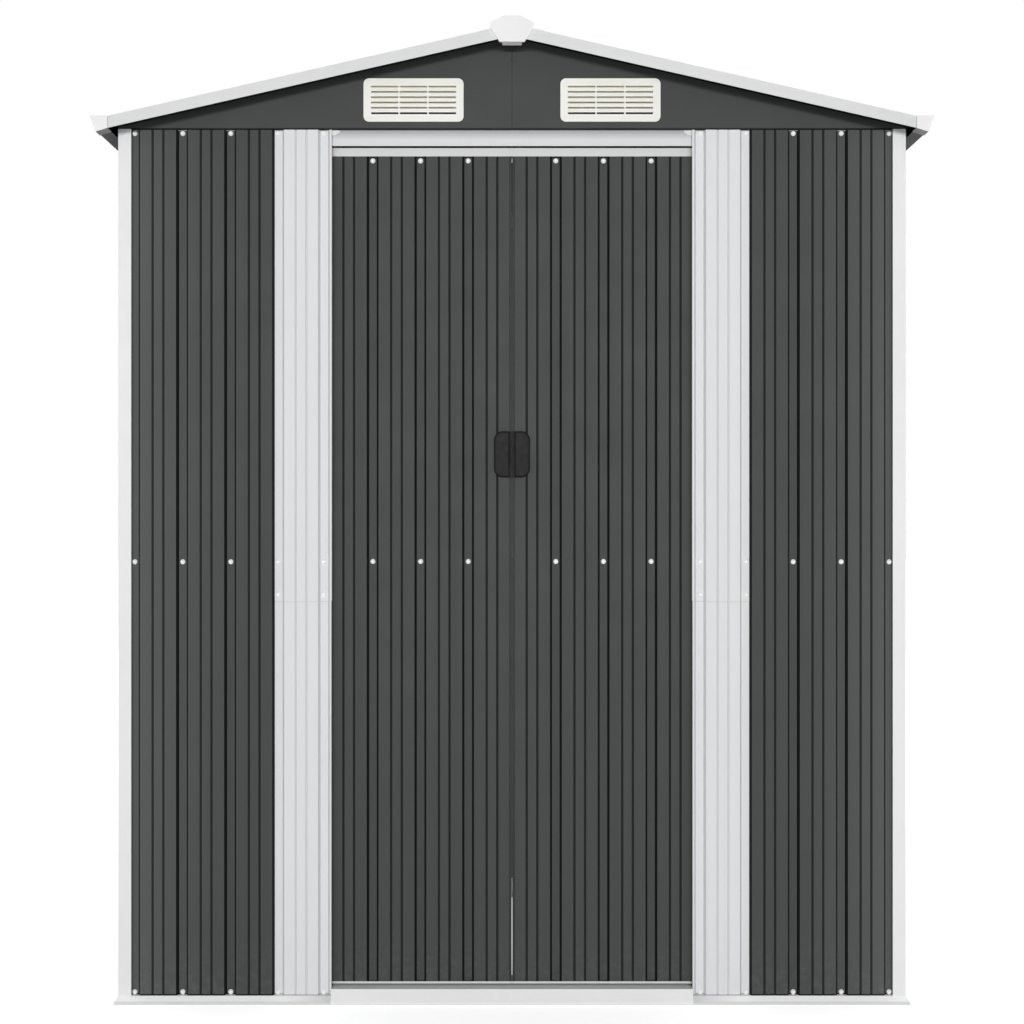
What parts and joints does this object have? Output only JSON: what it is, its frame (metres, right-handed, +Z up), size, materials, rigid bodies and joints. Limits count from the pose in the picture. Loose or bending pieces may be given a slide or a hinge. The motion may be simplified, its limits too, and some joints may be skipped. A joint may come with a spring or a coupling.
{
  "type": "metal storage shed",
  "caption": "Small gable-roofed garden storage shed of corrugated painted sheet on a folded steel frame, with sliding double doors and louvred gable vents.",
  "frame": {"origin": "on the ground at the middle of the shed's outline", "axes": "+Z up, -Y out of the doors, +X to the right of a person who faces the doors"},
  "size_m": [1.913, 1.092, 2.2565],
  "materials": {
    "anthracite_sheet": "satin anthracite coil coating",
    "white_sheet": "satin white coil coating",
    "white_trim": "satin white paint",
    "galvanised_frame": "dull zinc coating",
    "white_cap": "moulded white plastic",
    "vent_plastic": "moulded warm white plastic",
    "black_handle": "moulded black plastic",
    "black_glide": "moulded black plastic"
  },
  "bodies": {
    "shed": {"base_rail_front": "white_trim", "base_rail_rear": "white_trim", "base_rail_left": "white_trim", "base_rail_right": "white_trim", "door_sill": "white_trim", "lower_track": "galvanised_frame", "corner_post_front_left": "white_trim", "corner_post_front_right": "white_trim", "corner_post_rear_left": "white_trim", "corner_post_rear_right": "white_trim", "front_panel_left": "anthracite_sheet", "front_panel_right": "anthracite_sheet", "jamb_panels_lower": "white_sheet", "jamb_panels_upper": "white_sheet", "side_wall_left": "anthracite_sheet", "side_wall_right": "anthracite_sheet", "rear_panel_left": "anthracite_sheet", "rear_panel_centre": "anthracite_sheet", "rear_panel_right": "anthracite_sheet", "front_header": "white_trim", "top_rails": "galvanised_frame", "mid_rails": "galvanised_frame", "gable_front_left": "anthracite_sheet", "gable_front_right": "anthracite_sheet", "gable_rear_left": "anthracite_sheet", "gable_rear_right": "anthracite_sheet", "gable_vents": "vent_plastic", "roof_panel_left": "anthracite_sheet", "roof_panel_right": "anthracite_sheet", "ridge_beam": "galvanised_frame", "purlins": "galvanised_frame", "ridge_cap": "anthracite_sheet", "ridge_end_caps": "white_cap", "gable_trims": "white_trim", "eave_trims": "anthracite_sheet", "eave_corner_caps": "white_cap"},
    "left_door": {"left_door_panel": "anthracite_sheet", "left_door_rails": "white_trim", "left_door_handle": "black_handle", "left_door_glides": "black_glide"},
    "right_door": {"right_door_panel": "anthracite_sheet", "right_door_rails": "white_trim", "right_door_handle": "black_handle", "right_door_glides": "black_glide"}
  },
  "joints": [
    {"name": "left_door_slide", "type": "slide", "parent": "shed", "child": "left_door", "axis": [-1, 0, 0], "range_m": [0, 0.365]},
    {"name": "right_door_slide", "type": "slide", "parent": "shed", "child": "right_door", "axis": [1, 0, 0], "range_m": [0, 0.365]}
  ]
}
